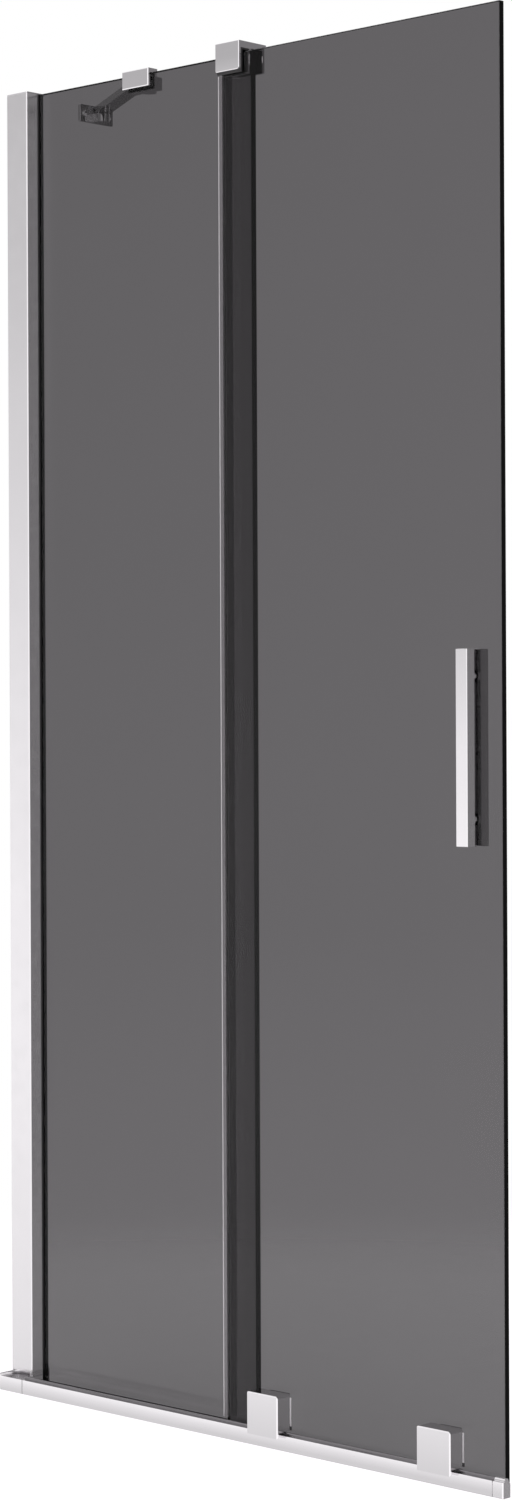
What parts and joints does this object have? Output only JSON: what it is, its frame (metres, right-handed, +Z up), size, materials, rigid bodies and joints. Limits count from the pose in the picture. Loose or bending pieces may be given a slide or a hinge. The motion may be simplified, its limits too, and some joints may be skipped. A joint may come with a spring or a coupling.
{
  "type": "sliding bath screen",
  "caption": "Bath screen in grey tinted glass: a fixed panel in a wall profile, and a panel that rolls along a low chrome rail on grooved wheels, held upright by a top guide.",
  "frame": {"origin": "on the finished wall, on the bath's rim, under the middle of the rail: the wall mount wall_face", "axes": "+X along the bath's rim away from the wall, +Y from the room into the bath, +Z up"},
  "size_m": [0.75, 0.1985, 1.512],
  "materials": {
    "chrome": "polished",
    "satin_aluminium": "satin anodised",
    "steel": "brushed stainless",
    "smoke_glass": "grey tinted, toughened",
    "black_rubber": "matt",
    "clear_seal": "clear",
    "black_plastic": "fine grain",
    "nylon": "natural white"
  },
  "bodies": {
    "fixed_side": {"wall_channel": "satin_aluminium", "wall_profile": "chrome", "profile_cap": "chrome", "profile_screws": "steel", "profile_screw_covers": "chrome", "gasket_front_strip": "black_rubber", "gasket_rear_strip": "black_rubber", "fixed_glass": "smoke_glass", "foot_channel": "chrome", "setting_blocks": "black_rubber", "bottom_rail": "chrome", "running_rib": "steel", "rail_end_left": "chrome", "rail_end_right": "chrome", "rail_stop_left": "black_rubber", "rail_stop_right": "black_rubber", "top_guide": "chrome", "guide_liner": "black_plastic", "guide_pads": "black_rubber", "guide_screws": "steel", "stabiliser_clamp": "chrome", "clamp_pads": "black_rubber", "clamp_screws": "steel", "arm_pivot_screw": "steel", "stabiliser_arm": "chrome", "bracket_pivot_screw": "steel", "wall_bracket": "chrome"},
    "sliding_panel": {"sliding_glass": "smoke_glass", "edge_seal": "clear_seal", "drip_seal": "clear_seal", "roller_cover_left": "chrome", "roller_cover_right": "chrome", "carriage_left": "black_plastic", "carriage_right": "black_plastic", "axle_left": "steel", "axle_right": "steel", "axle_clips": "steel", "block_pads": "clear_seal", "block_back_plates": "chrome", "block_bolts": "steel", "glass_bushes": "nylon", "handle_outer": "chrome", "handle_inner": "chrome", "handle_standoffs": "chrome", "handle_studs": "steel"},
    "roller_left": {"wheel_left": "nylon", "bearing_left": "steel"},
    "roller_right": {"wheel_right": "nylon", "bearing_right": "steel"}
  },
  "joints": [
    {"name": "panel_slide", "type": "slide", "parent": "fixed_side", "child": "sliding_panel", "axis": [-1, 0, 0], "range_m": [0, 0.31]},
    {"name": "roller_left_spin", "type": "hinge", "parent": "sliding_panel", "child": "roller_left", "pos_m": [0.427, 0, 0.03055], "axis": [0, -1, 0], "continuous": true},
    {"name": "roller_right_spin", "type": "hinge", "parent": "sliding_panel", "child": "roller_right", "pos_m": [0.666, 0, 0.03055], "axis": [0, -1, 0], "continuous": true}
  ],
  "couplings": [
    {"joint": "roller_left_spin", "follows": "panel_slide", "rad_per_m": 90.909},
    {"joint": "roller_right_spin", "follows": "panel_slide", "rad_per_m": 90.909}
  ]
}
